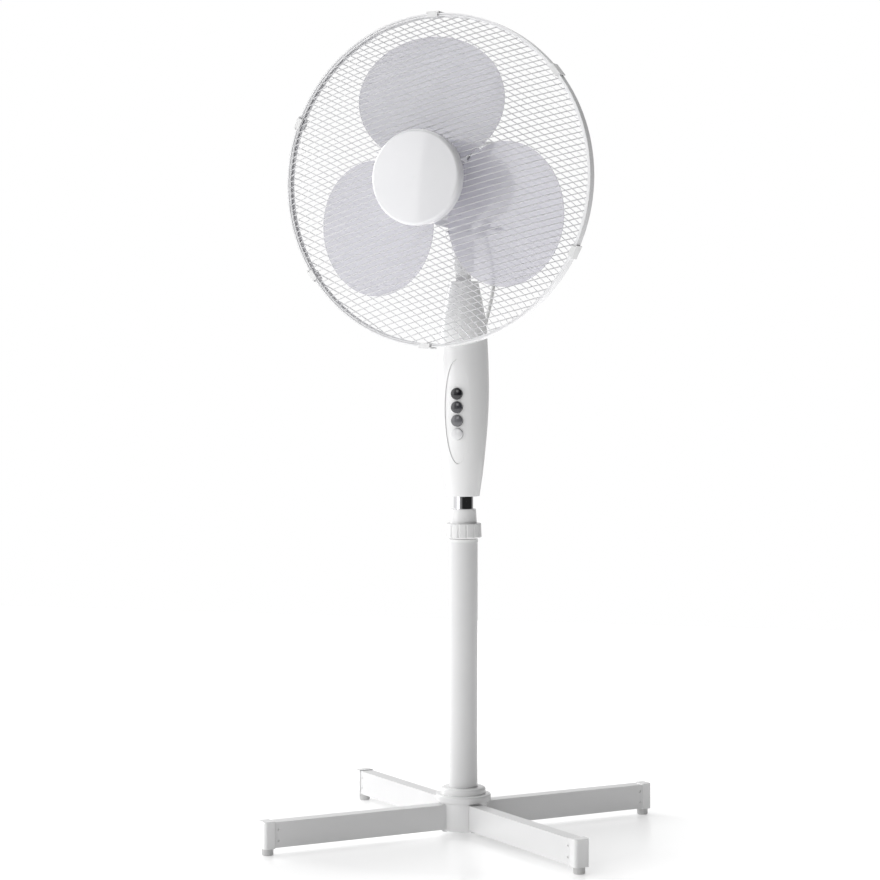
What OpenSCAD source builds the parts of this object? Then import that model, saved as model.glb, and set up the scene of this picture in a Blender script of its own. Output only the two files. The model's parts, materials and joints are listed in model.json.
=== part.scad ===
// Pedestal fan with a cross foot, a telescopic pole, a push-button control
// column and an oscillating, tilting head behind two wire guards.
// Millimetres, +Z up, the fan looks along -Y, origin on the floor on the pole axis.

/* [Foot] */
// Reach of a leg from the pole axis to its tip
leg_reach = 296; // [250:1:340]
// Width of a leg tube
leg_w = 19; // [16:0.5:24]
// Height of a leg tube
leg_h = 33; // [26:0.5:40]
// Sheet thickness of a leg tube
leg_wall = 1.2; // [0.8:0.1:2]
// Height of the foot pads, which is the gap under the legs
foot_h = 10; // [6:0.5:16]
// Diameter of a foot pad
foot_d = 15; // [12:0.5:18]
// Length of a leg's end cap
cap_len = 14; // [11:0.5:20]
// Diameter of the moulded hub
hub_d = 66; // [60:1:80]
// Overhang of the hub cover beyond the hub
cover_lip = 4; // [1:0.5:6]
// Diameter of the collar on the hub cover
cover_collar_d = 60; // [54:1:68]

/* [Pole] */
// Outer diameter of the fixed pole
pole_d = 38; // [32:0.5:42]
// Sheet thickness of the fixed pole
pole_wall = 1.2; // [0.8:0.1:2]
// Height of the fixed pole's top edge above the floor
pole_top = 391; // [330:1:450]
// Outer diameter of the sliding pole
mast_d = 26.2; // [22:0.2:28]
// Sheet thickness of the sliding pole
mast_wall = 1.1; // [0.8:0.1:1.6]
// Length of sliding pole that shows at the lowest setting
mast_show = 17; // [8:1:40]
// Height adjustment
mast_travel = 190; // [100:5:230]
// Outer diameter of the collar nut's grip
nut_d = 48; // [46:0.5:56]
// Height of the collar nut's grip
nut_grip_h = 20; // [14:0.5:26]
// Height of the cone above the grip
nut_cone_h = 19; // [12:0.5:26]
// Number of finger grooves round the grip
nut_grooves = 14; // [8:1:24]

/* [Control column] */
// Height of the control column
column_h = 285; // [240:1:330]
// Wall of the column shells
column_wall = 2.5; // [1.6:0.1:3.5]
// Width of the oval control panel
panel_w = 35; // [26:0.5:38]
// Height of the oval control panel
panel_h = 137; // [110:1:160]
// Height of the lowest button above the column's foot
button_z = 83; // [70:1:95]
// Distance between buttons
button_pitch = 17.75; // [16:0.25:20]
// Diameter of a button
button_d = 15.2; // [11:0.2:15.4]
// Travel of a button
button_travel = 3.5; // [2:0.5:4]

/* [Head] */
// Height of the fan axis above the column's top
head_rise = 127; // [115:1:150]
// Turn of the head from straight ahead, as it stands
head_yaw = 8.6; // [0:0.2:20]
// Distance of the guard's rim from the pole axis
rim_out = 86; // [80:1:100]
// Outer radius of the guard
guard_r = 215; // [180:1:240]
// Depth of the rim band
band_w = 14; // [10:0.5:20]
// Diameter of a guard wire
wire_d = 1.4; // [1:0.1:2.4]
// Distance between neighbouring guard wires
wire_pitch = 7.4; // [5:0.1:12]
// Slope of the front guard's wires, seen from the front
front_slope = 15; // [-60:1:60]
// Slope of the rear guard's wires, seen from the front
rear_slope = 147.5; // [90:0.5:170]
// Height of the front guard's dome above its rim
front_dome = 50; // [40:1:70]
// Depth of the rear guard's dome behind its rim
rear_dome = 54; // [50:1:58]
// Radius of the centre cap
cap_r = 61.5; // [50:0.5:70]
// Outer radius of the motor casing
motor_r = 52; // [48:0.5:58]

/* [Blade] */
// Gap from the blade tips to the guard's outer edge
blade_gap = 28; // [22:1:50]
// Number of blades
blade_count = 3; // [2:1:5]
// Half the greatest width of a blade, as a share of the tip radius
blade_width_share = 0.5; // [0.35:0.01:0.54]
// Half the length of a blade's oval, as a share of the tip radius
blade_length_share = 0.44; // [0.35:0.01:0.45]
// Thickness of a blade
blade_t = 2; // [1.4:0.1:3]
// Pitch of a blade
blade_pitch = 13; // [12:0.5:15]
// Radius that a blade is curved to
blade_curve = 800; // [600:10:2000]
// Radius of the blade's hub
blade_hub_r = 34; // [28:0.5:38]
// Diameter of the motor shaft
shaft_d = 8; // [6:0.5:10]

/* [Fits] */
// Gap between parts that are fixed to each other
fit_gap = 0.1; // [0.05:0.01:0.2]
// Radial gap of a bearing
run_gap = 0.05; // [0.02:0.01:0.08]
// Gap between parts that pass each other
pass_gap = 0.4; // [0.3:0.05:0.8]

/* [Hidden] */
$fn = 64;

// Foot
leg_z = foot_h;
leg_angles = [225, 315, 45, 135];
hub_r = hub_d / 2;
hub_z0 = leg_z - 2;
hub_z1 = leg_z + leg_h + 3;
hub_floor = 4;
cover_h = 9;
cover_collar_h = 10;
cap_over = 1;
leg_root = pole_d / 2 + 4;
leg_end = leg_reach - cap_len;
foot_at = leg_end + 7.4 / 2 + 2;
snap_in = 5;
snap_r = 1.5;
bolt_r = 4;

// Pole and clamp
pole_r = pole_d / 2;
pole_z0 = hub_z0 + hub_floor + 2;
mast_r = mast_d / 2;
bush_in = 20;
bush_flange = 4;
bush_neck = 16;
sleeve_r = mast_r + run_gap + 2;
bush_r = sleeve_r + run_gap;
nut_z0 = pole_top + bush_flange + 1;
nut_z1 = nut_z0 + nut_grip_h;
nut_top = nut_z1 + nut_cone_h;
column_z0 = nut_top + mast_show;
mast_socket = 64;
mast_z0 = pole_top - bush_in - mast_travel - 30;
mast_z1 = column_z0 + mast_socket;

// Control column: height above its foot as a share of its own height, and radius
column_z1 = column_z0 + column_h;
stations = [[0, 21.5], [0.107, 25.9], [0.226, 29.6], [0.345, 32.5], [0.47, 34],
    [0.60, 33.6], [0.703, 32.4], [0.80, 30.6], [0.90, 25.6], [1, 19.6]];
button_h = [for (i = [0:3]) column_z0 + button_z + i * button_pitch];
panel_mid = column_z0 + 112.5;
panel_sink = 1;
panel_t = 2.5;
boss_r = mast_r + 3.6;
button_stem_r = 2.4;
rib_x = 9;
rib_t = 3;
rib_z0 = column_z0 + 30;
rib_bite = 0.8;
shell_screws = [0.16, 0.84];
shell_screw_r = 1.5;
mouth_y = 14.5;

// Tilt and oscillation
tilt_z = column_z1 - 7;
tilt_r = 9;
tilt_bolt_r = 3;
neck_w = 15.6;
neck_r = 14.5;
axis_z = column_z1 + head_rise;
neck_top = axis_z - 63;
neck_head_r = 24;
pin_r = 6;
pin_top = axis_z - 39;

// Head, along the fan axis: distance in front of the pole axis
band_back = rim_out - band_w / 2;
band_front = rim_out + band_w / 2;
ring_section = 1.6;
band_wall = 0.9;
front_ring_z = band_front - band_wall - ring_section;
rear_ring_z = band_back + band_wall + ring_section;
ring_r = guard_r - 3;
lip_in = 2;
band_t = 1;
front_apex = front_ring_z + front_dome;
front_sphere = (ring_r * ring_r + front_dome * front_dome) / (2 * front_dome);
rear_apex = rear_ring_z - rear_dome;
rear_sphere = (ring_r * ring_r + rear_dome * rear_dome) / (2 * rear_dome);
clip_angles = [90.5, 38.5, -26.5, -93.5, -146, 157.5];
plate_r = 58;
plate_t = 1.6;
front_plate_z = front_apex - (front_sphere - sqrt(front_sphere * front_sphere - plate_r * plate_r)) - 0.8;
motor_front = rear_apex - 2;
motor_split = -4;
motor_back = -74;
cover_wall = 2.2;
collar_r = 13.5;
thread_gap = 0.35;
cover_screw = 26;
cover_screw_r = 1.5;
cover_lug = 6;
shaft_r = shaft_d / 2;
core_r = 36;
core_in = 19.5;
core_z0 = -14;
core_z1 = 12;
winding_h = 8;
bracket_t = 3;
front_bracket_z = motor_front - cover_wall - bracket_t - fit_gap;
rear_bracket_z = core_z0 - winding_h - 1 - bracket_t;
worm_r = shaft_r + 0.4;
wheel_r = 10.3;
gear_back = -46;
gear_side = worm_r + wheel_r + 0.3;
case_lo = [-14, -16, -60];
case_hi = [30, 14, rear_bracket_z];
bracket_boss_r = 10;
crank_r = 4;
crank_throw = 16;
rod_z = neck_top + 0.4;
rod_t = 3;
rod_w = 7;
crank_z = rod_z + rod_t + 2;
crank_t = 4;
lug = [-22, 6];
lug_pin_r = 2.5;
hub_back = front_bracket_z + 24;
hub_front = 92;
blade_r = guard_r - blade_gap;
blade_wide = blade_r * blade_width_share;
blade_long = blade_r * blade_length_share;
blade_mid = 80;
blade_clock = 4;

// Lead: from the back of the motor casing down to the gland in the column's back
lead_r = 2.6;
lead_sides = 10;
lead_exit = [-9, -31];
lead_entry_z = column_z1 - 94;
lead_sag = 0.4;
upper_route = [[1, 66.6, -31], [2.2, 75, -31], [3.2, 82, -34], [4, 86, -42], [6, 87, -56],
    [12, 83, -78], [19, 76, -99], [23, 70, -118]];
lower_route = [[23, 70, 8.7], [23, 67, -9], [19, 65, -31], [15, 64, -49], [11, 61, -67],
    [7, 57, -81], [2, 49, -90], [0, 42, -94 + lead_sag], [0, 34, -94], [0, 27, -94]];
gland_z = [column_z0 + 22, lead_entry_z];
gland_r = 5;

// Puts a child that is drawn round +Z on the fan axis: +Z forward, +Y up
module on_axis() {
    translate([0, 0, axis_z]) rotate([0, 0, -head_yaw]) rotate([90, 0, 0]) children();
}

// Turns a child that lies along +X towards each leg
module on_leg(angle) { rotate([0, 0, angle]) children(); }

// Block between two corners
module block(lo, hi) { translate(lo) cube(hi - lo); }

// Ring of round section about +Z
module ring(r, section_r, z) {
    translate([0, 0, z]) rotate_extrude() translate([r, 0]) circle(section_r, $fn = 24);
}

// Tube about +Z
module tube(r_out, r_in, z0, z1) {
    translate([0, 0, z0]) difference() {
        cylinder(r = r_out, h = z1 - z0);
        translate([0, 0, -1]) cylinder(r = r_in, h = z1 - z0 + 2);
    }
}

// Column radius at a share of its height, smooth through the stations
function slope_at(i) = let (n = len(stations) - 1, a = stations[max(i - 1, 0)],
        b = stations[min(i + 1, n)])
    (b[1] - a[1]) / (b[0] - a[0]);
function span_of(s, i = 0) = i >= len(stations) - 2 || s < stations[i + 1][0] ? i : span_of(s, i + 1);
function column_r(s) = let (i = span_of(s), a = stations[i], b = stations[i + 1], w = b[0] - a[0],
        t = (s - a[0]) / w)
    (2 * t * t * t - 3 * t * t + 1) * a[1] + (t * t * t - 2 * t * t + t) * w * slope_at(i)
    + (3 * t * t - 2 * t * t * t) * b[1] + (t * t * t - t * t) * w * slope_at(i + 1);
function column_r_at(z) = column_r((z - column_z0) / column_h);

// Solid of the column's outline, drawn in by an inset, between two heights
module column_body(inset, z0, z1, round = 0) {
    steps = 40;
    outline = [for (i = [0:steps]) let (z = z0 + (z1 - z0) * i / steps)
        [column_r_at(z) - inset, z]];
    rotate_extrude($fn = 96) polygon(concat([[0, z0]], outline, [[0, z1]]));
}

// Prism of the panel's oval that runs forward from the column's middle
module panel_prism(grow) {
    translate([0, 0, panel_mid]) rotate([90, 0, 0]) linear_extrude(60)
        scale([panel_w / 2 + grow, panel_h / 2 + grow]) circle(1, $fn = 120);
}

// ---------------------------------------------------------------- foot

module hub() {
    color("white") difference() {
        translate([0, 0, hub_z0]) cylinder(r = hub_r, h = hub_z1 - hub_z0);
        translate([0, 0, pole_z0]) cylinder(r = pole_r + fit_gap, h = hub_z1);
        translate([0, 0, hub_z0 - 1]) cylinder(r = bolt_r + fit_gap, h = hub_floor + 5);
        for (a = leg_angles) on_leg(a) {
            block([leg_root - fit_gap, -leg_w / 2 - fit_gap, leg_z - fit_gap],
                [hub_r + 1, leg_w / 2 + fit_gap, leg_z + leg_h + fit_gap]);
            translate([leg_root + 5, 0, hub_z0 - 1]) cylinder(r = 2 + fit_gap, h = 4, $fn = 24);
        }
    }
}

module hub_cover() {
    color("white") difference() {
        rotate_extrude() {
            translate([0, hub_z1]) round_disc(hub_r + cover_lip, cover_h, 3);
            translate([0, hub_z1 + cover_h - 1]) round_disc(cover_collar_d / 2, cover_collar_h, 4.5);
        }
        translate([0, 0, hub_z1 - 1]) cylinder(r = pole_r + fit_gap, h = cover_h + cover_collar_h + 5);
    }
}

// Half section of a disc with a rounded outer edge
module round_disc(r, h, edge) {
    square([r - edge, h]);
    square([r, h - edge]);
    translate([r - edge, h - edge]) intersection() {
        circle(edge);
        square(edge);
    }
}

module leg(angle) {
    color("white") on_leg(angle) difference() {
        block([leg_root, -leg_w / 2, leg_z], [leg_end, leg_w / 2, leg_z + leg_h]);
        block([leg_root - 1, -leg_w / 2 + leg_wall, leg_z + leg_wall],
            [leg_end + 1, leg_w / 2 - leg_wall, leg_z + leg_h - leg_wall]);
        for (z = [0.28, 0.72]) translate([leg_end - snap_in, -leg_w / 2 - 1, leg_z + z * leg_h])
            rotate([-90, 0, 0]) cylinder(r = snap_r, h = leg_w + 2, $fn = 24);
        translate([leg_root + 5, 0, leg_z - 1]) cylinder(r = 2 + fit_gap, h = leg_wall + 2, $fn = 24);
    }
}
module leg_front_left() { leg(leg_angles[0]); }
module leg_front_right() { leg(leg_angles[1]); }
module leg_rear_right() { leg(leg_angles[2]); }
module leg_rear_left() { leg(leg_angles[3]); }

module leg_caps() {
    plug = leg_wall + fit_gap;
    edge = 4;
    color("whitesmoke") for (a = leg_angles) on_leg(a) difference() {
        union() {
            block([leg_end, -leg_w / 2 - cap_over, leg_z - cap_over],
                [leg_reach - edge, leg_w / 2 + cap_over, leg_z + leg_h + cap_over]);
            block([leg_end, -leg_w / 2 - cap_over + edge, leg_z - cap_over],
                [leg_reach, leg_w / 2 + cap_over - edge, leg_z + leg_h + cap_over]);
            for (side = [-1, 1])
                translate([leg_reach - edge, side * (leg_w / 2 + cap_over - edge), leg_z - cap_over])
                    cylinder(r = edge, h = leg_h + 2 * cap_over);
            block([leg_end - 22, -leg_w / 2 + plug, leg_z + plug],
                [leg_end + 1, leg_w / 2 - plug, leg_z + leg_h - plug]);
        }
        translate([foot_at, 0, leg_z - cap_over - 1]) cylinder(r = 3 + fit_gap, h = 7, $fn = 32);
    }
}

module foot_pads() {
    top = leg_z - cap_over;
    color("gainsboro") for (a = leg_angles) on_leg(a) translate([foot_at, 0, 0]) rotate_extrude()
        polygon([[0, 0], [foot_d / 2 - 1, 0], [foot_d / 2, 1], [foot_d / 2, top], [3, top],
            [3, top + 5], [0, top + 5]]);
}

module base_fasteners() {
    color("silver") {
        translate([0, 0, hub_z0 - 4]) cylinder(r = 9, h = 4);
        translate([0, 0, hub_z0 - 0.5]) cylinder(r = bolt_r, h = hub_floor + 14);
        for (a = leg_angles) on_leg(a) translate([leg_root + 5, 0, 0]) {
            translate([0, 0, hub_z0 - 2]) cylinder(r = 4, h = 2, $fn = 32);
            translate([0, 0, hub_z0 - 0.5]) cylinder(r = 2, h = 6, $fn = 24);
        }
    }
}

// ---------------------------------------------------------------- pole and clamp

module outer_pole() {
    color("white") difference() {
        translate([0, 0, pole_z0]) cylinder(r = pole_r, h = pole_top - pole_z0);
        translate([0, 0, pole_z0 + 4]) cylinder(r = pole_r - pole_wall, h = pole_top);
        translate([0, 0, pole_z0 - 1]) cylinder(r = bolt_r + fit_gap, h = 7);
    }
}

module pole_bush() {
    color("dimgray") difference() {
        union() {
            translate([0, 0, pole_top - bush_in]) cylinder(r = pole_r - pole_wall - fit_gap, h = bush_in);
            translate([0, 0, pole_top]) cylinder(r = pole_r + 0.5, h = bush_flange);
            translate([0, 0, pole_top]) cylinder(r = bush_r + 2, h = bush_flange + bush_neck);
        }
        translate([0, 0, pole_top - bush_in - 1])
            cylinder(r = bush_r, h = bush_in + bush_flange + bush_neck + 2);
    }
}

module clamp_sleeve() {
    z0 = pole_top - bush_in;
    z1 = pole_top + bush_flange + bush_neck;
    z2 = nut_top - 5;
    color("dimgray") difference() {
        rotate_extrude() polygon([[mast_r + run_gap, z0], [sleeve_r, z0], [sleeve_r, z1],
            [mast_r + 1, z2], [mast_r + run_gap, z2]]);
        for (a = [0, 90]) rotate([0, 0, a])
            block([-sleeve_r - 1, -0.8, z1 - 6], [sleeve_r + 1, 0.8, z2 + 1]);
    }
}

module collar_nut() {
    grip_r = nut_d / 2;
    cone_r = grip_r - 6;
    top_r = mast_r + 3.7;
    groove_r = 1.6;
    color("white") difference() {
        rotate_extrude() polygon([[mast_r, nut_z0], [grip_r - 1.5, nut_z0], [grip_r + 0.3, nut_z0 + 1.8],
            [grip_r - 0.4, nut_z1 - 1], [grip_r - 1.4, nut_z1], [cone_r, nut_z1],
            [top_r, nut_top - 0.8], [top_r - 0.8, nut_top], [mast_r, nut_top]]);
        translate([0, 0, nut_z0 - 1]) cylinder(r = bush_r + 2 + pass_gap, h = bush_neck + 1.6);
        translate([0, 0, nut_z0 + bush_neck])
            cylinder(r1 = bush_r + 1.9, r2 = mast_r + 1.6, h = nut_top - nut_z0 - bush_neck - 3);
        translate([0, 0, nut_z0]) cylinder(r = mast_r + 0.5, h = nut_top);
        for (i = [0:nut_grooves - 1]) rotate([0, 0, (i + 0.5) * 360 / nut_grooves])
            translate([grip_r + 0.7, 0, nut_z0 - 1]) cylinder(r = groove_r, h = nut_grip_h + 2, $fn = 24);
    }
}

// ---------------------------------------------------------------- sliding mast and column

module inner_pole() { color("silver") tube(mast_r, mast_r - mast_wall, mast_z0, mast_z1); }

// What is open in both column shells: inside, top opening, panel and lead hole
module column_voids() {
    column_body(column_wall, column_z0 + column_wall, column_z1 - column_wall);
    block([-neck_w / 2 - 1, -mouth_y, column_z1 - 10], [neck_w / 2 + 1, mouth_y, column_z1 + 1]);
    panel_prism(fit_gap);
    translate([0, 0, column_z0 - 1]) cylinder(r = boss_r + fit_gap, h = column_wall + 2);
    for (z = gland_z) translate([0, 0, z]) rotate([-90, 0, 0])
        cylinder(r = gland_r + fit_gap, h = 60, $fn = 32);
}

module column_front() {
    color("white") difference() {
        column_body(0, column_z0, column_z1);
        column_voids();
        block([-60, 0, column_z0 - 1], [60, 60, column_z1 + 1]);
    }
}

module column_rear() {
    color("white") {
        difference() {
            column_body(0, column_z0, column_z1);
            column_voids();
            block([-60, -60, column_z0 - 1], [60, fit_gap, column_z1 + 1]);
            for (z = shell_screws) translate([0, 0, column_z0 + z * column_h]) rotate([-90, 0, 0])
                cylinder(r = shell_screw_r + fit_gap, h = 60, $fn = 24);
        }
        tube(boss_r, mast_r + fit_gap, column_z0, mast_z1);
        intersection() {
            column_body(column_wall - rib_bite, rib_z0, mast_z1);
            for (side = [-1, 1]) block([side * rib_x - rib_t / 2, mast_r + 1, rib_z0],
                [side * rib_x + rib_t / 2, column_r_at(mast_z1), mast_z1]);
        }
    }
}

module control_panel() {
    color("white") difference() {
        intersection() {
            column_body(panel_sink, column_z0 + 20, column_z1 - 60);
            panel_prism(0);
        }
        column_body(panel_sink + panel_t, column_z0 + 19, column_z1 - 59);
        for (z = button_h) translate([0, 0, z]) rotate([90, 0, 0])
            cylinder(r = button_d / 2 + pass_gap / 2, h = 60);
    }
}

// Push button with a domed face, on its stem
module button(i) {
    z = button_h[i];
    face = column_r_at(z) + 1.8;
    dome = 1.6;
    r = button_d / 2;
    sphere_r = (r * r + dome * dome) / (2 * dome);
    translate([0, 0, z]) rotate([90, 0, 0]) {
        intersection() {
            translate([0, 0, 24]) cylinder(r = r, h = face + dome - 24);
            translate([0, 0, face + dome - sphere_r]) sphere(sphere_r, $fn = 96);
        }
        translate([0, 0, 17]) cylinder(r = button_stem_r, h = 8, $fn = 32);
    }
}
module button_off() { color("white") button(0); }
module button_low() { color("lightgray") button(1); }
module button_medium() { color("gray") button(2); }
module button_high() { color("black") button(3); }

module switch_block() {
    color("dimgray") difference() {
        union() {
            block([-10, -20, button_h[0] - 11], [10, -2, button_h[3] + 11]);
            for (z = [panel_mid - 30, panel_mid + 30]) {
                reach = column_r_at(z) - column_wall - 1;
                block([-reach, -6, z - 4], [reach, -2, z + 4]);
            }
        }
        for (z = button_h) translate([0, 0, z]) rotate([90, 0, 0])
            cylinder(r = button_stem_r + pass_gap, h = 40, $fn = 32);
        block([-8, -17 + button_travel + pass_gap, button_h[0] - 9], [8, -4, button_h[3] + 9]);
    }
}

module tilt_bracket() {
    in = neck_w / 2 + pass_gap;
    color("silver") difference() {
        union() {
            block([-in - 2, -9, column_z1 - 36], [in + 2, 9, column_z1 - column_wall - 0.2]);
            block([-23.5, -4.5, column_z1 - 36], [23.5, 4.5, column_z1 - 33.5]);
        }
        block([-in, -10, column_z1 - 33.5], [in, 10, column_z1]);
        translate([-30, 0, tilt_z]) rotate([0, 90, 0]) cylinder(r = tilt_bolt_r + fit_gap, h = 60);
    }
}

module tilt_bolt() {
    in = neck_w / 2 + pass_gap + 2;
    color("silver") translate([0, 0, tilt_z]) rotate([0, 90, 0]) {
        translate([0, 0, -in - 2.2]) cylinder(r = 4, h = 2.2);
        translate([0, 0, -in - 0.2]) cylinder(r = tilt_bolt_r, h = 2 * in + 2.4);
        translate([0, 0, in]) cylinder(r = 4, h = 2.4);
    }
}

module column_screws() {
    color("silver") for (z = shell_screws) translate([0, 0, column_z0 + z * column_h]) rotate([-90, 0, 0]) {
        r = column_r(z);
        translate([0, 0, r + 0.8]) cylinder(r = 3, h = 1.4, $fn = 32);
        translate([0, 0, r - column_wall - 4]) cylinder(r = shell_screw_r, h = column_wall + 5, $fn = 24);
    }
}

module cord_gland() {
    color("gray") for (z = gland_z) translate([0, 0, z]) rotate([-90, 0, 0]) difference() {
        r = column_r_at(z);
        inner = r - column_wall - 3;
        union() {
            translate([0, 0, inner]) cylinder(r = gland_r, h = r + 2 - inner, $fn = 32);
            translate([0, 0, r + 1.2]) cylinder(r1 = gland_r + 1.5, r2 = gland_r + 0.5, h = 3.4);
        }
        translate([0, 0, inner - 1]) cylinder(r = lead_r + 0.8, h = 30, $fn = 32);
    }
}

// ---------------------------------------------------------------- neck

module neck() {
    stem_z = tilt_z + 15;
    cone_z = neck_top - 12;
    color("white") difference() {
        union() {
            translate([-neck_w / 2, 0, tilt_z]) rotate([0, 90, 0]) cylinder(r = tilt_r, h = neck_w);
            block([-neck_w / 2, -tilt_r, tilt_z], [neck_w / 2, tilt_r, stem_z + 2]);
            rotate_extrude() polygon([[0, stem_z], [neck_r - 4, stem_z], [neck_r, stem_z + 4],
                [neck_r, cone_z], [neck_head_r - 1, neck_top - 6], [neck_head_r, neck_top - 4],
                [neck_head_r, neck_top], [0, neck_top]]);
            translate([lug[0], lug[1], neck_top - 6]) cylinder(r = 6, h = 6);
            translate([lug[0], lug[1], neck_top - 1]) cylinder(r = lug_pin_r, h = rod_t + 2.2, $fn = 32);
        }
        translate([-20, 0, tilt_z]) rotate([0, 90, 0]) cylinder(r = tilt_bolt_r + run_gap, h = 40);
        translate([0, 0, neck_top - 12]) cylinder(r = pin_r + fit_gap, h = 20);
    }
}

module pivot_pin() {
    color("silver") translate([0, 0, neck_top - 12]) cylinder(r = pin_r, h = pin_top - neck_top + 12);
}

// Smooth route through its points, and a round tube swept along it
function blend(p, i, t) = let (n = len(p) - 1, a = p[max(i - 1, 0)], b = p[i], c = p[i + 1],
        d = p[min(i + 2, n)])
    0.5 * (2 * b + (c - a) * t + (2 * a - 5 * b + 4 * c - d) * t * t + (3 * b - a - 3 * c + d) * t * t * t);
function route(p, per) = concat([for (i = [0:len(p) - 2]) for (k = [0:per - 1]) blend(p, i, k / per)],
    [p[len(p) - 1]]);
function unit(v) = v / norm(v);
module sweep(path, r, sides) {
    n = len(path);
    dirs = [for (i = [0:n - 1]) unit(path[min(i + 1, n - 1)] - path[max(i - 1, 0)])];
    across = [for (d = dirs) unit(cross(d, [0.8, -0.6, 0.1]))];
    pts = [for (i = [0:n - 1]) for (k = [0:sides - 1]) let (a = 360 * k / sides)
        path[i] + r * (cos(a) * across[i] + sin(a) * cross(dirs[i], across[i]))];
    walls = [for (i = [0:n - 2]) for (k = [0:sides - 1]) let (k2 = (k + 1) % sides)
        [i * sides + k, (i + 1) * sides + k, (i + 1) * sides + k2, i * sides + k2]];
    polyhedron(pts, concat(walls, [[for (k = [0:sides - 1]) k]],
        [[for (k = [0:sides - 1]) n * sides - 1 - k]]), convexity = 6);
}
module lead_lower() {
    color("white") translate([0, 0, column_z1]) sweep(route(lower_route, 2), lead_r, lead_sides);
}
module lead_upper() {
    color("white") translate([0, 0, axis_z]) sweep(route(upper_route, 2), lead_r, lead_sides);
}

// ---------------------------------------------------------------- motor

module pivot_block() {
    color("darkgray") difference() {
        union() {
            translate([0, 0, neck_top + pass_gap]) cylinder(r = 11, h = axis_z - 42 - neck_top);
            translate([0, 0, axis_z]) rotate([0, 0, -head_yaw]) block([-12, -10, -50], [12, 10, 4 - core_r]);
        }
        on_axis() translate([0, 0, -30]) cylinder(r = core_r + fit_gap, h = 60);
        translate([0, 0, neck_top - 1]) cylinder(r = pin_r + run_gap, h = pin_top - neck_top + 2);
    }
}

module stator_core() {
    color("darkgray") on_axis() difference() {
        translate([0, 0, core_z0]) cylinder(r = core_r, h = core_z1 - core_z0);
        translate([0, 0, core_z0 - 1]) cylinder(r = core_in, h = core_z1 - core_z0 + 2);
        for (i = [0:7]) rotate([0, 0, i * 45 + 22.5]) translate([26, 0, core_z0 - 1])
            cylinder(r = 3.6, h = core_z1 - core_z0 + 2, $fn = 24);
    }
}

module windings() {
    color("chocolate") on_axis() {
        tube(33, 22, core_z1, core_z1 + winding_h);
        tube(33, 22, core_z0 - winding_h, core_z0);
    }
}

module bracket(z, boss_z0, boss_z1) {
    difference() {
        union() {
            translate([0, 0, z]) cylinder(r = 42, h = bracket_t);
            translate([0, 0, boss_z0]) cylinder(r = bracket_boss_r, h = boss_z1 - boss_z0);
        }
        translate([0, 0, boss_z0 - 1]) cylinder(r = 7, h = boss_z1 - boss_z0 + 2);
        for (i = [0:3]) rotate([0, 0, i * 90 + 45]) {
            translate([36.8, 0, z - 1]) cylinder(r = 1.6, h = bracket_t + 2, $fn = 24);
            rotate([0, 0, 45]) translate([24, 0, z - 1]) cylinder(r = 8, h = bracket_t + 2, $fn = 32);
        }
    }
}
module front_bracket() {
    color("silver") on_axis() bracket(front_bracket_z, front_bracket_z - 5, front_bracket_z + bracket_t);
}
module rear_bracket() {
    color("silver") on_axis() bracket(rear_bracket_z, rear_bracket_z - 4, rear_bracket_z + bracket_t + 3);
}

module shaft_bushes() {
    color("peru") on_axis() {
        tube(7, shaft_r + run_gap, front_bracket_z - 5, front_bracket_z + bracket_t);
        tube(7, shaft_r + run_gap, rear_bracket_z - 4, rear_bracket_z + bracket_t + 3);
    }
}

module gear_case() {
    w = 2;
    color("gray") on_axis() difference() {
        block(case_lo, case_hi);
        block([for (v = case_lo) v + w], [for (v = case_hi) v - w]);
        translate([0, 0, case_hi[2] - 10]) cylinder(r = bracket_boss_r + fit_gap, h = 20);
        translate([gear_side, 0, gear_back]) rotate([90, 0, 0])
            translate([0, 0, -40]) cylinder(r = crank_r + run_gap, h = 80);
    }
}

// Outline of the rear cover, drawn in by an inset
module rear_cover_solid(inset) {
    edge = 9;
    rotate_extrude() polygon(concat([[0, motor_split], [motor_r - inset, motor_split]],
        [for (i = [0:8]) let (a = i * 90 / 8)
            [motor_r - 7 - edge + edge * cos(a) - inset, motor_back + edge - edge * sin(a) + inset]],
        [[0, motor_back + inset]]));
}

// Opening under the motor for the pivot block
module pivot_opening() { block([-13.5, -80, -11.5], [13.5, -30, 11.5]); }

module motor_front_cover() {
    color("white") on_axis() {
        difference() {
            rotate_extrude() polygon([[0, motor_split], [motor_r, motor_split], [motor_r, motor_front - 5],
                [motor_r - 1.5, motor_front - 1.5], [motor_r - 5, motor_front], [0, motor_front]]);
            translate([0, 0, motor_split - 1])
                cylinder(r = motor_r - cover_wall, h = motor_front - motor_split - cover_wall - 3);
            translate([0, 0, motor_split - 1])
                cylinder(r = motor_r - cover_lug, h = motor_front - motor_split - cover_wall + 1);
            translate([0, 0, motor_front - 10]) cylinder(r = collar_r - 2.5, h = 20);
            for (i = [0:17]) rotate([0, 0, i * 20])
                block([24, -1.6, motor_front - 6], [42, 1.6, motor_front + 1]);
            pivot_opening();
        }
        tube(collar_r, collar_r - 2.5, motor_front - cover_wall, motor_front + 12);
    }
}

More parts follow.
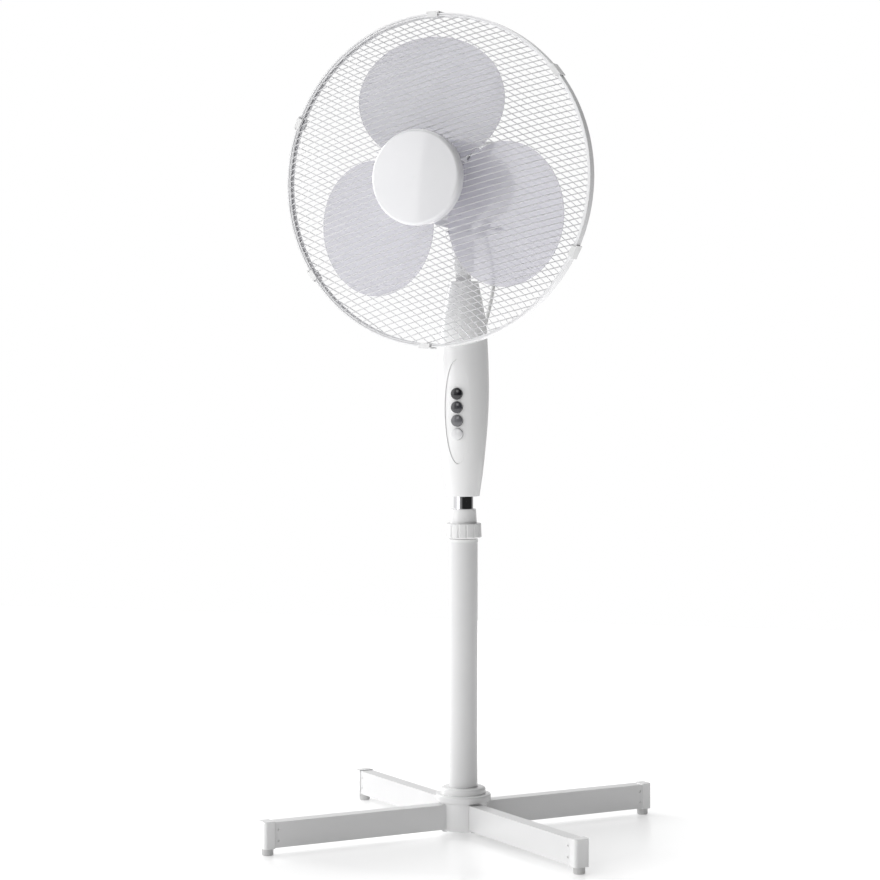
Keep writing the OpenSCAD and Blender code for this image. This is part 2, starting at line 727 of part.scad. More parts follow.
module motor_rear_cover() {
    slit = 5;
    color("white") on_axis() difference() {
        rear_cover_solid(0);
        rear_cover_solid(cover_wall);
        translate([0, 0, motor_split - 2]) cylinder(r = motor_r - cover_wall, h = 4);
        for (row = [-5:5]) block([-26 + abs(row) * 1.5, row * slit - 1.2, motor_back - 1],
            [26 - abs(row) * 1.5, row * slit + 1.2, motor_back + 6]);
        pivot_opening();
        for (sx = [-1, 1]) for (sy = [-1, 1]) translate([sx * cover_screw, sy * cover_screw, motor_back - 1])
            cylinder(r = cover_screw_r + 2 * fit_gap, h = 8, $fn = 24);
        translate([gear_side, 0, gear_back]) rotate([90, 0, 0]) cylinder(r = crank_r + 1.5, h = 80);
        translate([gear_side, 0, gear_back]) rotate([-90, 0, 0]) cylinder(r = 4.5, h = 80);
        translate([lead_exit[0], lead_exit[1], motor_back - 1])
            cylinder(r = lead_r + 0.6, h = 12, $fn = 32);
    }
}

module motor_screws() {
    reach = rear_bracket_z + bracket_t - motor_back;
    color("silver") on_axis() for (sx = [-1, 1]) for (sy = [-1, 1])
        translate([sx * cover_screw, sy * cover_screw, motor_back]) {
            translate([0, 0, -1.6]) cylinder(r = 3.2, h = 1.6, $fn = 32);
            translate([0, 0, -0.1]) cylinder(r = cover_screw_r, h = reach, $fn = 24);
        }
}

// ---------------------------------------------------------------- guards

// Wire that follows a sphere about a point on the axis: an arc in the plane at
// distance d from the axis, between two distances along the wire; facing is 1 to
// bulge forward and -1 to bulge back
module arc_wire(sphere_r, centre_z, d, t0, t1, facing) {
    rho = sqrt(sphere_r * sphere_r - d * d);
    a0 = asin(t0 / rho);
    a1 = asin(t1 / rho);
    translate([0, d, centre_z]) rotate([90, 0, 0]) rotate([0, 0, facing * 90 - (facing > 0 ? a1 : -a0)])
        rotate_extrude(angle = a1 - a0, $fn = 160) translate([rho, 0]) circle(wire_d / 2, $fn = 16);
}

// Distances of the wires from the axis
function wire_rows(r) = let (n = floor((r - 4) / wire_pitch)) [for (i = [-n:n]) (i + 0) * wire_pitch];

module guard_wires(sphere_r, centre_z, facing, end_r, inner_r) {
    for (d = wire_rows(end_r)) {
        t1 = sqrt(end_r * end_r - d * d);
        if (abs(d) < inner_r) {
            t0 = sqrt(inner_r * inner_r - d * d);
            arc_wire(sphere_r, centre_z, d, t0, t1, facing);
            arc_wire(sphere_r, centre_z, d, -t1, -t0, facing);
        } else {
            arc_wire(sphere_r, centre_z, d, -t1, t1, facing);
        }
    }
}

module front_guard_wires() {
    color("white") on_axis() rotate([0, 0, front_slope])
        guard_wires(front_sphere, front_apex - front_sphere, 1, ring_r, plate_r - 2);
}

module front_guard_rings() {
    color("white") on_axis() ring(ring_r, ring_section, front_ring_z);
}

module front_plate() {
    color("white") on_axis() tube(plate_r, 20, front_plate_z, front_plate_z + plate_t);
}

module rear_guard_wires() {
    color("white") on_axis() rotate([0, 0, rear_slope])
        guard_wires(rear_sphere, rear_apex + rear_sphere, -1, ring_r, plate_r - 2);
}

module rear_guard_rings() {
    color("white") on_axis() ring(ring_r, ring_section, rear_ring_z);
}

module rear_plate() {
    z = rear_apex + rear_sphere - sqrt(rear_sphere * rear_sphere - plate_r * plate_r);
    color("white") on_axis() difference() {
        rotate_extrude() polygon([[collar_r + 0.5, rear_apex - 1.6], [plate_r - 8, rear_apex - 1.6],
            [plate_r, z - 0.8], [plate_r, z + 0.8], [plate_r - 8.5, rear_apex],
            [collar_r + 0.5, rear_apex]]);
        for (i = [0:17]) rotate([0, 0, i * 20]) block([36, -1.6, rear_apex - 4], [46, 1.6, rear_apex + 4]);
    }
}

module guard_nut() {
    color("white") on_axis() {
        tube(20, collar_r + thread_gap, rear_apex, rear_apex + 8);
        tube(31, 18, rear_apex, rear_apex + 3);
        for (i = [0:5]) rotate([0, 0, i * 60]) block([19, -1.5, rear_apex], [30, 1.5, rear_apex + 8]);
    }
}

module guard_band() {
    color("white") on_axis() rotate_extrude($fn = 180) difference() {
        translate([guard_r - lip_in, band_back]) square([lip_in, band_w]);
        translate([guard_r - lip_in - 1, band_back + band_wall])
            square([lip_in + 1 - band_t, band_w - 2 * band_wall]);
    }
}

// Snap clips that straddle the rim band
module rim_clips() {
    reach = 2;
    color("white") on_axis() for (a = clip_angles) rotate([0, 0, a]) {
        block([guard_r + fit_gap, -9, band_back - 2], [guard_r + reach, 9, band_front + 2]);
        block([guard_r - 5, -7, band_front + fit_gap], [guard_r + reach, 7, band_front + 2]);
        block([guard_r - 5, -7, band_back - 2], [guard_r + reach, 7, band_back - fit_gap]);
    }
}

module centre_cap() {
    z0 = front_plate_z + plate_t + 0.5;
    z1 = rim_out + 67;
    edge = 5;
    dome = 2.5;
    wall = 1.5;
    flat_r = cap_r - edge;
    color("white") on_axis() {
        difference() {
            rotate_extrude() polygon(concat([[0, z0], [cap_r, z0]],
                [for (i = [0:6]) [flat_r + edge * cos(i * 15), z1 - edge + edge * sin(i * 15)]],
                [for (i = [1:8]) [flat_r * (1 - i / 8), z1 + dome * (1 - pow(1 - i / 8, 2))]]));
            translate([0, 0, z0 - 1]) cylinder(r = flat_r, h = z1 - z0 + 1 - wall);
        }
        for (i = [0:2]) rotate([0, 0, i * 120 + 30]) translate([40, 0, z0 - 0.5])
            cylinder(r = 3, h = z1 - z0 - wall + 1, $fn = 32);
    }
}

// ---------------------------------------------------------------- rotor

module shaft() {
    color("silver") on_axis() {
        translate([0, 0, -57]) cylinder(r = shaft_r, h = 57 + hub_front + 16);
        translate([0, 0, gear_back - 9]) cylinder(r = worm_r, h = 18);
    }
}

module rotor_core() {
    color("silver") on_axis() tube(core_in - 0.5, shaft_r, core_z0 + 1, core_z1 - 1);
}

// One blade that points up: a curved, pitched plate cut to an upright oval
module blade_sheet() {
    difference() {
        intersection() {
            translate([0, 0, blade_mid]) rotate([0, blade_pitch, 0]) translate([0, 0, blade_curve])
                rotate([90, 0, 0]) difference() {
                    cylinder(r = blade_curve + blade_t / 2, h = 2 * blade_r, center = true, $fn = 400);
                    cylinder(r = blade_curve - blade_t / 2, h = 2 * blade_r + 2, center = true, $fn = 400);
                }
            translate([0, blade_r - blade_long, blade_mid - 40]) linear_extrude(80)
                scale([blade_wide, blade_long]) circle(1, $fn = 120);
        }
        cylinder(r = blade_hub_r - 1.5, h = 200);
    }
}

module blade() {
    color([0.78, 0.77, 0.83, 0.6]) on_axis() {
        difference() {
            union() {
                translate([0, 0, hub_back]) cylinder(r = blade_hub_r, h = hub_front - hub_back - 3);
                translate([0, 0, hub_front - 3]) cylinder(r1 = blade_hub_r, r2 = blade_hub_r - 3, h = 3);
            }
            translate([0, 0, hub_back - 1]) cylinder(r = blade_hub_r - 2.5, h = hub_front - hub_back - 1.5);
            translate([0, 0, hub_back - 1]) cylinder(r = shaft_r, h = hub_front);
        }
        difference() {
            translate([0, 0, hub_back + 4]) cylinder(r = 9, h = hub_front - hub_back - 6);
            translate([0, 0, hub_back - 1]) cylinder(r = shaft_r, h = hub_front);
        }
        for (i = [0:blade_count - 1]) rotate([0, 0, blade_clock + i * 360 / blade_count]) blade_sheet();
    }
}

module spinner() {
    color("gainsboro") on_axis() difference() {
        rotate_extrude() translate([0, hub_front]) round_disc(17, 20, 7);
        translate([0, 0, hub_front - 1]) cylinder(r = shaft_r, h = 17.2);
        for (i = [0:7]) rotate([0, 0, i * 45]) translate([18.6, 0, hub_front - 1])
            cylinder(r = 3, h = 30, $fn = 24);
    }
}

// ---------------------------------------------------------------- oscillation

module worm_wheel() {
    teeth = 24;
    color("ivory") on_axis() translate([gear_side, 0, gear_back]) rotate([-90, 0, 0]) difference() {
        translate([0, 0, -4]) cylinder(r = wheel_r, h = 8);
        translate([0, 0, -5]) cylinder(r = crank_r + run_gap, h = 10);
        for (i = [0:teeth - 1]) rotate([0, 0, (i + 0.5) * 360 / teeth]) translate([wheel_r + 0.3, 0, -5])
            cylinder(r = 0.9, h = 10, $fn = 16);
    }
}

// Where the crank's axis crosses the floor plane, and the crank pin's rest place
gear_xy = [gear_side * cos(head_yaw) - gear_back * sin(head_yaw),
    -gear_side * sin(head_yaw) - gear_back * cos(head_yaw)];
lug_to_gear = unit(gear_xy - lug);
crank_pin_xy = gear_xy + crank_throw * [-lug_to_gear[1], lug_to_gear[0]];

module crank() {
    color("silver") {
        translate([gear_xy[0], gear_xy[1], crank_z]) cylinder(r = crank_throw + 4, h = crank_t);
        translate([gear_xy[0], gear_xy[1], crank_z + 1]) cylinder(r = crank_r, h = axis_z + 18 - crank_z);
        translate([crank_pin_xy[0], crank_pin_xy[1], crank_z - 1.4]) cylinder(r = 3, h = 2.4, $fn = 32);
    }
}

module link_rod() {
    reach = norm(crank_pin_xy - lug);
    turn = atan2(crank_pin_xy[1] - lug[1], crank_pin_xy[0] - lug[0]);
    color("silver") translate([lug[0], lug[1], rod_z]) rotate([0, 0, turn]) difference() {
        union() {
            translate([0, -rod_w / 2, 0]) cube([reach, rod_w, rod_t]);
            cylinder(r = rod_w / 2 + 1.2, h = rod_t);
            translate([reach, 0, 0]) cylinder(r = rod_w / 2 + 1.2, h = rod_t);
        }
        translate([0, 0, -1]) cylinder(r = lug_pin_r + run_gap, h = rod_t + 2, $fn = 32);
    }
}

module oscillation_knob() {
    low = axis_z + 19;
    high = axis_z + 61;
    color("gainsboro") translate([gear_xy[0], gear_xy[1], 0]) difference() {
        rotate_extrude() polygon([[0, low], [4, low], [4, high - 12], [8, high - 12], [9, high - 1],
            [8, high], [0, high]]);
        for (i = [0:9]) rotate([0, 0, i * 36]) translate([9.6, 0, high - 13])
            cylinder(r = 1.2, h = 20, $fn = 16);
    }
}

hub();
hub_cover();
leg_front_left();
leg_front_right();
leg_rear_right();
leg_rear_left();
leg_caps();
foot_pads();
base_fasteners();
outer_pole();
pole_bush();
clamp_sleeve();
collar_nut();
inner_pole();
column_front();
column_rear();
control_panel();
switch_block();
tilt_bracket();
tilt_bolt();
column_screws();
cord_gland();
button_off();
button_low();
button_medium();
button_high();
neck();
pivot_pin();
lead_lower();
lead_upper();
pivot_block();
stator_core();
windings();
front_bracket();
rear_bracket();
shaft_bushes();
gear_case();
motor_front_cover();
motor_rear_cover();
motor_screws();
rear_guard_rings();
rear_guard_wires();
rear_plate();
guard_nut();
front_guard_rings();
front_guard_wires();
front_plate();
guard_band();
rim_clips();
centre_cap();
shaft();
rotor_core();
blade();
spinner();
worm_wheel();
crank();
link_rod();
oscillation_knob();
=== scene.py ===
import json
import math

import bmesh
import bpy
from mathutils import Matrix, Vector


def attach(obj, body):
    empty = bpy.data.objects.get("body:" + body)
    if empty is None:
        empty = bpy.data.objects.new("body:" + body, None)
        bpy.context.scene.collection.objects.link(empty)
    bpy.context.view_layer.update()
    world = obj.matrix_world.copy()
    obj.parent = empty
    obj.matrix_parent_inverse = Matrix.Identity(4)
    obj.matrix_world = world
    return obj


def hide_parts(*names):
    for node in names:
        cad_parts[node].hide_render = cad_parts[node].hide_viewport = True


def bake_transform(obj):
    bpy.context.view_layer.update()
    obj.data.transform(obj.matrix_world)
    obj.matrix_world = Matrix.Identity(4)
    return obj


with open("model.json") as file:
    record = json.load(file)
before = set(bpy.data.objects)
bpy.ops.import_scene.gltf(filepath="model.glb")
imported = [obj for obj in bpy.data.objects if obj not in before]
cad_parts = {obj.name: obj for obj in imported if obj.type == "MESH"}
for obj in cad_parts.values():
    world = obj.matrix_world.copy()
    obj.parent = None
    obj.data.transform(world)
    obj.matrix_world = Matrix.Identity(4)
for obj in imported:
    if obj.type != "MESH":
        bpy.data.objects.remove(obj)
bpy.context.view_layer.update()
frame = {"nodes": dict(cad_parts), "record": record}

# ------------------------------------------------------------------ camera
CAMERA_AT = (0.8245, -3.0137, 0.617)
CAMERA_LENS = 96.1
CAMERA_PITCH = math.radians(-1.66)
CAMERA_HEADING = (-0.2735, 0.9619)
SENSOR = 36.0


def make_camera():
    data = bpy.data.cameras.new("camera")
    data.lens = CAMERA_LENS
    data.sensor_width = SENSOR
    obj = bpy.data.objects.new("camera", data)
    bpy.context.scene.collection.objects.link(obj)
    obj.location = CAMERA_AT
    level = math.cos(CAMERA_PITCH)
    look = Vector((CAMERA_HEADING[0] * level, CAMERA_HEADING[1] * level, math.sin(CAMERA_PITCH)))
    obj.rotation_euler = look.to_track_quat("-Z", "Y").to_euler()
    bpy.context.scene.camera = obj


make_camera()

# --------------------------------------------------------------- materials
# The middle part of a noise's range, which colours and roughness spread over
NOISE_LOW, NOISE_HIGH = 0.3, 0.7
# Noise scales, in cells per metre
GLOSS_CELLS = 900.0
GRAIN_CELLS = 2600.0


class Shade:
    """A node material built up from small pieces."""

    def __init__(self, name):
        self.mat = bpy.data.materials.new(name)
        self.mat.use_nodes = True
        self.tree = self.mat.node_tree
        self.bsdf = self.tree.nodes["Principled BSDF"]
        coords = self.tree.nodes.new("ShaderNodeTexCoord")
        self.coords = coords.outputs["Object"]
        self.normal = None

    def set(self, **values):
        for key, value in values.items():
            self.bsdf.inputs[key.replace("_", " ")].default_value = value
        return self

    def stretched(self, scale):
        node = self.tree.nodes.new("ShaderNodeMapping")
        node.inputs["Scale"].default_value = scale
        self.tree.links.new(self.coords, node.inputs["Vector"])
        return node.outputs["Vector"]

    def noise(self, scale, detail, stretch=None):
        node = self.tree.nodes.new("ShaderNodeTexNoise")
        node.inputs["Scale"].default_value = scale
        node.inputs["Detail"].default_value = detail
        source = self.stretched(stretch) if stretch else self.coords
        self.tree.links.new(source, node.inputs["Vector"])
        return node.outputs["Fac"]

    def base(self, fac, low, high):
        """Base colour, from low to high over the noise's range."""
        node = self.tree.nodes.new("ShaderNodeValToRGB")
        for element, at, colour in zip(node.color_ramp.elements, (NOISE_LOW, NOISE_HIGH), (low, high)):
            element.position = at
            element.color = (*colour, 1.0)
        self.tree.links.new(fac, node.inputs["Fac"])
        self.tree.links.new(node.outputs["Color"], self.bsdf.inputs["Base Color"])
        return self

    def ranged(self, fac, start, end, low, high, socket):
        """Spreads a value from start..end to low..high and feeds it to a socket."""
        node = self.tree.nodes.new("ShaderNodeMapRange")
        node.inputs["From Min"].default_value = start
        node.inputs["From Max"].default_value = end
        node.inputs["To Min"].default_value = low
        node.inputs["To Max"].default_value = high
        self.tree.links.new(fac, node.inputs["Value"])
        self.tree.links.new(node.outputs["Result"], self.bsdf.inputs[socket])
        return self

    def roughness(self, fac, low, high):
        return self.ranged(fac, NOISE_LOW, NOISE_HIGH, low, high, "Roughness")

    def bump(self, fac, height_mm, strength):
        node = self.tree.nodes.new("ShaderNodeBump")
        node.inputs["Distance"].default_value = height_mm / 1000.0
        node.inputs["Strength"].default_value = strength
        self.tree.links.new(fac, node.inputs["Height"])
        if self.normal is not None:
            self.tree.links.new(self.normal, node.inputs["Normal"])
        self.normal = node.outputs["Normal"]
        self.tree.links.new(self.normal, self.bsdf.inputs["Normal"])
        return self

    def round_edges(self, radius_mm):
        node = self.tree.nodes.new("ShaderNodeBevel")
        node.samples = 6
        node.inputs["Radius"].default_value = radius_mm / 1000.0
        self.normal = node.outputs["Normal"]
        self.tree.links.new(self.normal, self.bsdf.inputs["Normal"])
        return self


def moulded(name, low, high, rough=(0.16, 0.26), grain=0.01, edge=0.7, coat=0.25):
    """Glossy moulded plastic: faint flow variation, fine grain and soft edges."""
    shade = Shade(name)
    shade.round_edges(edge)
    shade.base(shade.noise(9.0, 4.0), low, high)
    shade.roughness(shade.noise(GLOSS_CELLS, 3.0), *rough)
    shade.bump(shade.noise(30.0, 2.0), 0.02, 0.15)
    shade.bump(shade.noise(GRAIN_CELLS, 2.0), grain * 0.3, 0.3)
    shade.set(IOR=1.49, Coat_Weight=coat, Coat_Roughness=0.06)
    return shade.mat


def coated(name, low, high, rough=(0.3, 0.34)):
    """Baked powder coat with its orange peel."""
    shade = Shade(name)
    shade.base(shade.noise(14.0, 5.0), low, high)
    shade.roughness(shade.noise(GLOSS_CELLS, 3.0), *rough)
    shade.bump(shade.noise(850.0, 1.5), 0.004, 0.25)
    shade.bump(shade.noise(GRAIN_CELLS, 1.0), 0.002, 0.3)
    shade.set(IOR=1.5, Coat_Weight=0.2, Coat_Roughness=0.14)
    return shade.mat


def metal(name, low, high, rough, stretch=(1, 1, 1), scratch=0.01, scale=500.0):
    """Bare or plated metal, with scratches that a stretch can draw out along an axis."""
    shade = Shade(name)
    shade.base(shade.noise(30.0, 4.0), low, high)
    fine = shade.noise(scale, 4.0, stretch)
    shade.roughness(fine, *rough)
    shade.bump(fine, scratch, 0.4)
    shade.set(Metallic=1.0)
    return shade.mat


def copper_wire():
    """Enamelled wire in wound turns."""
    shade = Shade("copper")
    wave = shade.tree.nodes.new("ShaderNodeTexWave")
    wave.inputs["Scale"].default_value = 420.0
    wave.inputs["Distortion"].default_value = 2.5
    wave.inputs["Detail"].default_value = 2.0
    shade.tree.links.new(shade.coords, wave.inputs["Vector"])
    turns = wave.outputs["Fac"]
    shade.base(turns, (0.28, 0.1, 0.04), (0.62, 0.28, 0.12))
    shade.roughness(turns, 0.45, 0.25)
    shade.bump(turns, 0.2, 0.8)
    shade.set(Metallic=0.9)
    return shade.mat


def blade_plastic():
    """Cool grey see-through moulding: sharp things behind it still show."""
    shade = Shade("blade_tint")
    shade.base(shade.noise(8.0, 4.0), (0.62, 0.61, 0.68), (0.68, 0.67, 0.74))
    shade.roughness(shade.noise(120.0, 3.0), 0.12, 0.22)
    shade.bump(shade.noise(90.0, 2.0), 0.03, 0.3)
    shade.set(IOR=1.5, Alpha=0.5, Coat_Weight=0.3, Coat_Roughness=0.08)
    return shade.mat


WIRE_ROUGH = (0.2, 0.32)
# Polished cap and keys: roughness, grain, edge radius and clear coat
CAP_FINISH = ((0.08, 0.13), 0.004, 1.2, 0.6)
KEY_FINISH = ((0.12, 0.2), 0.004, 0.8, 0.4)

MATERIALS = {
    "white_gloss": moulded("white_gloss", (0.82, 0.82, 0.822), (0.85, 0.85, 0.85)),
    "white_paint": coated("white_paint", (0.75, 0.75, 0.752), (0.77, 0.77, 0.772)),
    "wire_coat": coated("wire_coat", (0.86, 0.86, 0.87), (0.9, 0.9, 0.91), WIRE_ROUGH),
    # The same white coated wire as wire_coat, made darker: painted shade on the front guard's wires
    "wire_front_painted_shade": coated("wire_front_painted_shade", (0.6, 0.6, 0.61), (0.66, 0.66, 0.67), WIRE_ROUGH),
    "cap_gloss": moulded("cap_gloss", (0.78, 0.78, 0.80), (0.82, 0.82, 0.835), *CAP_FINISH),
    "chrome": metal("chrome", (0.82, 0.82, 0.84), (0.86, 0.86, 0.88), (0.03, 0.05),
                    (1, 1, 0.02), 0.001, 900.0),
    "steel": metal("steel", (0.42, 0.42, 0.43), (0.58, 0.58, 0.58), (0.28, 0.42), (1, 1, 0.1)),
    "cast": metal("cast", (0.4, 0.41, 0.42), (0.52, 0.52, 0.53), (0.4, 0.6),
                  scratch=0.08, scale=320.0),
    "bronze": metal("bronze", (0.42, 0.27, 0.14), (0.55, 0.38, 0.2), (0.35, 0.5),
                    scratch=0.03, scale=700.0),
    "nylon": moulded("nylon", (0.66, 0.63, 0.55), (0.73, 0.7, 0.62), (0.35, 0.5), 0.02, 0.3, 0.0),
    "dark_plastic": moulded("dark_plastic", (0.018, 0.018, 0.02), (0.03, 0.03, 0.032),
                            (0.35, 0.5), 0.03, 0.4, 0.0),
    "key_white": moulded("key_white", (0.72, 0.72, 0.73), (0.78, 0.78, 0.79), *KEY_FINISH),
    "key_light": moulded("key_light", (0.12, 0.12, 0.13), (0.145, 0.145, 0.155), *KEY_FINISH),
    "key_mid": moulded("key_mid", (0.035, 0.035, 0.042), (0.046, 0.046, 0.054), *KEY_FINISH),
    "key_black": moulded("key_black", (0.008, 0.008, 0.01), (0.013, 0.013, 0.016), *KEY_FINISH),
    "foot_rubber": moulded("foot_rubber", (0.55, 0.55, 0.55), (0.62, 0.62, 0.615),
                           (0.5, 0.7), 0.03, 0.5, 0.0),
    "lead_sheath": moulded("lead_sheath", (0.7, 0.7, 0.69), (0.76, 0.76, 0.75),
                           (0.35, 0.48), 0.01, 0.2, 0.0),
    "copper": copper_wire(),
    "blade_tint": blade_plastic(),
}


def finish_nodes():
    """Gives every CAD node the material of its slot, and the cap its own."""
    slots = {entry["node"]: entry["material_slot"] for entry in frame["record"]["subparts"]}
    slots["centre_cap"] = "cap_gloss"
    for name, obj in frame["nodes"].items():
        if not obj.material_slots:
            obj.data.materials.append(None)
        for material_slot in obj.material_slots:
            material_slot.material = MATERIALS[slots[name]]


finish_nodes()

# ------------------------------------------------------------ mesh helpers
# The fan's axis: its height, and its turn about the pole from straight ahead
HEAD_Z = 0.864
HEAD_YAW = math.radians(8.6)


def on_axis(x, up, out):
    """A point of the head, from its place across, above and along the fan axis."""
    cosine, sine = math.cos(HEAD_YAW), math.sin(HEAD_YAW)
    return Vector((x * cosine - out * sine, -x * sine - out * cosine, HEAD_Z + up))


def tube_into(bm, points, radius, sides):
    """Adds a round tube with closed ends along the points."""
    rings = []
    last = len(points) - 1
    across = None
    for i, p in enumerate(points):
        tangent = (points[min(i + 1, last)] - points[max(i - 1, 0)]).normalized()
        if across is None:
            across = tangent.orthogonal().normalized()
        across = (across - tangent * across.dot(tangent)).normalized()
        side = tangent.cross(across)
        ring = []
        for k in range(sides):
            a = 2 * math.pi * k / sides
            ring.append(bm.verts.new(p + radius * (math.cos(a) * across + math.sin(a) * side)))
        rings.append(ring)
    for low, high in zip(rings, rings[1:]):
        for k in range(sides):
            bm.faces.new((low[k], low[(k + 1) % sides], high[(k + 1) % sides], high[k]))
    bm.faces.new(list(reversed(rings[0])))
    bm.faces.new(rings[-1])


def object_from(bm, name, material):
    """Makes a mesh object of the bmesh and frees it."""
    mesh = bpy.data.meshes.new(name)
    bm.normal_update()
    bm.to_mesh(mesh)
    bm.free()
    mesh.materials.append(material)
    obj = bpy.data.objects.new(name, mesh)
    bpy.context.scene.collection.objects.link(obj)
    return obj


def piece_from(bm, name, look, node):
    """A smooth piece in the place of a CAD node."""
    obj = object_from(bm, name, MATERIALS[look])
    for poly in obj.data.polygons:
        poly.use_smooth = True
    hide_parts(node)
    return obj


# ------------------------------------------------------------- guard wires
WIRE_R = 0.0007
WIRE_SIDES = 7
WIRE_PITCH = 0.0074
# The outermost wire stays at least this far inside the ring
RIM_MARGIN = 0.004
RING_R = 0.212
PLATE_R = 0.0565
# A wire that passes this near the plate's edge isn't split by it
PLATE_MARGIN = 0.0005
MIN_STEPS = 6

# Places along the fan axis, forward of the pole's axis
FRONT_RING_OUT = 0.0905
REAR_RING_OUT = 0.0815
REAR_APEX = 0.0275
# The front dome's height, and the radius of its sphere
FRONT_DOME = 0.050
FRONT_SPHERE = (RING_R**2 + FRONT_DOME**2) / (2 * FRONT_DOME)
# The rear dish is flat to this radius, then curves forward to its ring
REAR_FLAT_R = 0.058
REAR_CURVE = 4.2


def front_profile(r):
    edge = math.sqrt(FRONT_SPHERE**2 - RING_R**2)
    return FRONT_RING_OUT + math.sqrt(max(FRONT_SPHERE**2 - r * r, 0.0)) - edge


def rear_profile(r):
    t = max(0.0, (r - REAR_FLAT_R) / (RING_R - REAR_FLAT_R))
    return REAR_APEX + (REAR_RING_OUT - REAR_APEX) * t**REAR_CURVE


def toward_rim(u, start, end):
    """Spaces steps closer together at the ends that lie on the rim."""
    if start > 0:
        return math.sin(0.5 * math.pi * u)
    if end < 0:
        return 1 - math.cos(0.5 * math.pi * u)
    return 0.5 - 0.5 * math.cos(math.pi * u)


def wire_spans(d):
    """The stretches of a wire at distance d from the middle, left out over the plate."""
    reach = math.sqrt(RING_R**2 - d * d)
    if abs(d) >= PLATE_R - PLATE_MARGIN:
        return [(-reach, reach)]
    inner = math.sqrt(PLATE_R**2 - d * d)
    return [(-reach, -inner), (inner, reach)]


def wire_family(name, node, slope_deg, profile, steps, look):
    """Parallel wires that follow the guard's profile from rim to rim."""
    bm = bmesh.new()
    cosine, sine = math.cos(math.radians(slope_deg)), math.sin(math.radians(slope_deg))
    rows = int((RING_R - RIM_MARGIN) / WIRE_PITCH)
    for row in range(-rows, rows + 1):
        d = row * WIRE_PITCH
        for start, end in wire_spans(d):
            count = max(MIN_STEPS, int(steps * (end - start) / (2 * RING_R)))
            points = []
            for i in range(count + 1):
                t = start + (end - start) * toward_rim(i / count, start, end)
                across, up = t * cosine - d * sine, t * sine + d * cosine
                points.append(on_axis(across, up, profile(math.hypot(t, d))))
            tube_into(bm, points, WIRE_R, WIRE_SIDES)
    obj = piece_from(bm, name, look, node)
    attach(obj, "head")


# The front guard's wires take the darker copy of the wire coat: painted shade
wire_family("front_wires", "front_guard_wires", slope_deg=15.0, profile=front_profile, steps=56,
            look="wire_front_painted_shade")
wire_family("rear_wires", "rear_guard_wires", slope_deg=147.5, profile=rear_profile, steps=72,
            look="wire_coat")

# -------------------------------------------------------------------- lead
LEAD_R = 0.0026
LEAD_SIDES = 16
LEAD_STEPS = 8
# The routes' points in millimetres: motor casing to neck, and neck to the column's gland
UPPER = [(1, 66.6, 833), (2.2, 75, 833), (3.2, 82, 830), (4, 86, 822), (6, 87, 808), (12, 83, 786),
         (19, 76, 765), (23, 70, 746)]
LOWER = [(23, 70, 746), (23, 67, 728), (19, 65, 706), (15, 64, 688), (11, 61, 670), (7, 57, 656),
         (2, 49, 647), (0, 42, 643.4), (0, 34, 643), (0, 27, 643)]


def smooth_route(points):
    """A smooth curve through the points, in metres."""
    pts = [Vector(p) / 1000.0 for p in points]
    out = []
    last = len(pts) - 1
    for i in range(last):
        a, b, c, d = pts[max(i - 1, 0)], pts[i], pts[i + 1], pts[min(i + 2, last)]
        for k in range(LEAD_STEPS):
            t = k / LEAD_STEPS
            out.append(0.5 * (2 * b + (c - a) * t + (2 * a - 5 * b + 4 * c - d) * t * t
                              + (3 * b - a - 3 * c + d) * t**3))
    out.append(pts[-1])
    return out


def lead_tube(name, node, route):
    bm = bmesh.new()
    tube_into(bm, smooth_route(route), LEAD_R, LEAD_SIDES)
    return piece_from(bm, name, "lead_sheath", node)


upper = lead_tube("lead_upper_tube", "lead_upper", UPPER)
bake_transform(upper)
lower = lead_tube("lead_lower_tube", "lead_lower", LOWER)
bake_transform(lower)

# ------------------------------------------------------------------- stage
FLOOR_HALF = 2.6
# The floor glows more with distance from the pole, so its far part goes white
GLOW_FROM, GLOW_TO = 0.25, 0.75
GLOW_LOW, GLOW_HIGH = 0.24, 0.75


def stage_plane():
    bm = bmesh.new()
    bmesh.ops.create_grid(bm, x_segments=1, y_segments=1, size=FLOOR_HALF)
    shade = Shade("floor")
    shade.base(shade.noise(2.0, 2.0), (0.9, 0.9, 0.9), (0.92, 0.92, 0.92))
    shade.roughness(shade.noise(3.0, 2.0), 0.2, 0.24)
    shade.set(IOR=1.45, Emission_Color=(1, 1, 1, 1))
    distance = shade.tree.nodes.new("ShaderNodeVectorMath")
    distance.operation = "LENGTH"
    shade.tree.links.new(shade.coords, distance.inputs[0])
    shade.ranged(distance.outputs["Value"], GLOW_FROM, GLOW_TO, GLOW_LOW, GLOW_HIGH, "Emission Strength")
    object_from(bm, "studio_floor", shade.mat)


def area(name, at, target, width, height, power):
    """A rectangular light that faces its target."""
    data = bpy.data.lights.new(name, "AREA")
    data.energy = power
    data.shape = "RECTANGLE"
    data.size = width
    data.size_y = height
    obj = bpy.data.objects.new(name, data)
    bpy.context.scene.collection.objects.link(obj)
    obj.location = at
    direction = Vector(target) - Vector(at)
    obj.rotation_euler = direction.to_track_quat("-Z", "Y").to_euler()


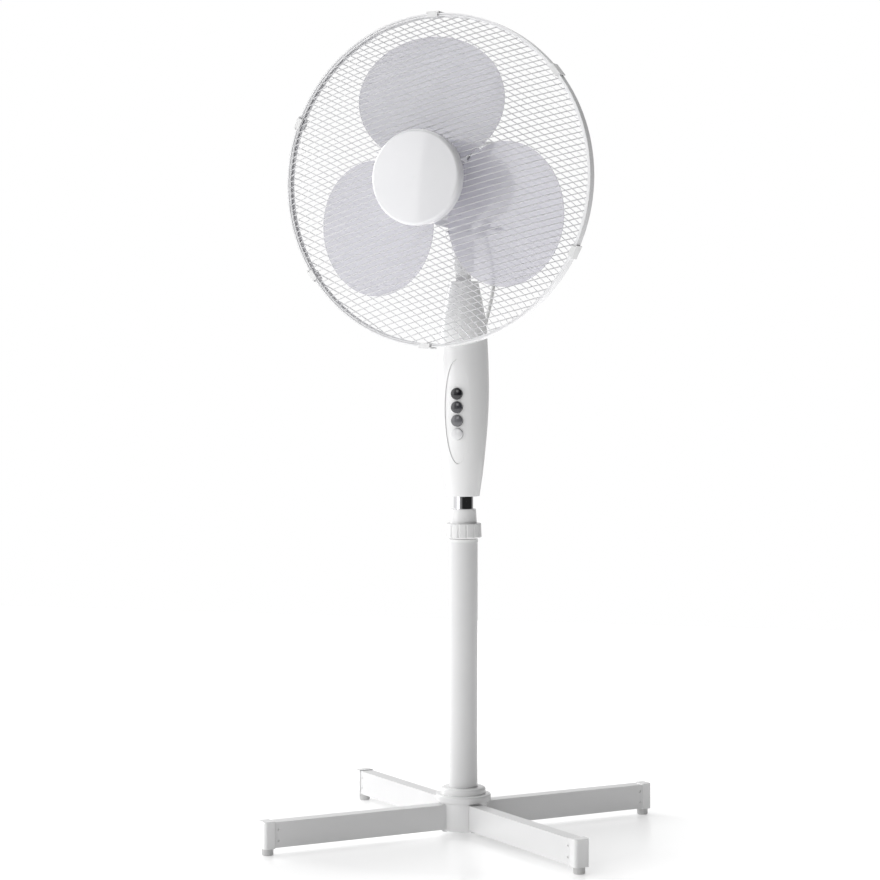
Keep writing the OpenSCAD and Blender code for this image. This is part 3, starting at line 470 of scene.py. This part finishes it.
# The studio's light comes mostly from one side: its direction, and the span of the
# direction's dot product over which it rises from dim to bright
BRIGHT_SIDE = (-0.88, 0.42, 0.2)
SIDE_FROM, SIDE_TO = -0.55, 0.75
SIDE_DIM, SIDE_BRIGHT = 0.02, 0.85
WHITE = (1, 1, 1, 1)


def studio_world():
    """Light that grows towards one side, seen by the camera as plain white."""
    world = bpy.data.worlds.new("studio")
    bpy.context.scene.world = world
    world.use_nodes = True
    tree = world.node_tree
    tree.nodes.clear()
    coords = tree.nodes.new("ShaderNodeTexCoord")
    dot = tree.nodes.new("ShaderNodeVectorMath")
    dot.operation = "DOT_PRODUCT"
    dot.inputs[1].default_value = BRIGHT_SIDE
    tree.links.new(coords.outputs["Generated"], dot.inputs[0])
    span = tree.nodes.new("ShaderNodeMapRange")
    span.inputs["From Min"].default_value = SIDE_FROM
    span.inputs["From Max"].default_value = SIDE_TO
    span.inputs["To Min"].default_value = SIDE_DIM
    span.inputs["To Max"].default_value = SIDE_BRIGHT
    tree.links.new(dot.outputs["Value"], span.inputs["Value"])
    light = tree.nodes.new("ShaderNodeBackground")
    light.inputs["Color"].default_value = WHITE
    tree.links.new(span.outputs["Result"], light.inputs["Strength"])
    backdrop = tree.nodes.new("ShaderNodeBackground")
    backdrop.inputs["Color"].default_value = WHITE
    backdrop.inputs["Strength"].default_value = 1.0
    seen = tree.nodes.new("ShaderNodeLightPath")
    either = tree.nodes.new("ShaderNodeMixShader")
    tree.links.new(seen.outputs["Is Camera Ray"], either.inputs[0])
    tree.links.new(light.outputs["Background"], either.inputs[1])
    tree.links.new(backdrop.outputs["Background"], either.inputs[2])
    out = tree.nodes.new("ShaderNodeOutputWorld")
    tree.links.new(either.outputs["Shader"], out.inputs["Surface"])


stage_plane()
MID_FAN = (0, 0, 0.6)
area("key", (-2.5, -2.2, 1.5), MID_FAN, 2.2, 2.8, 30)
area("side", (-2.6, 0.9, 1.4), MID_FAN, 1.0, 2.0, 26)
area("front", (-0.4, -3.4, 1.9), MID_FAN, 1.2, 1.2, 13)
area("top", (-0.3, 0.6, 3.0), (0, 0, 0.5), 2.0, 2.0, 18)
studio_world()
bpy.context.scene.view_settings.view_transform = "Standard"
bpy.context.scene.view_settings.look = "None"
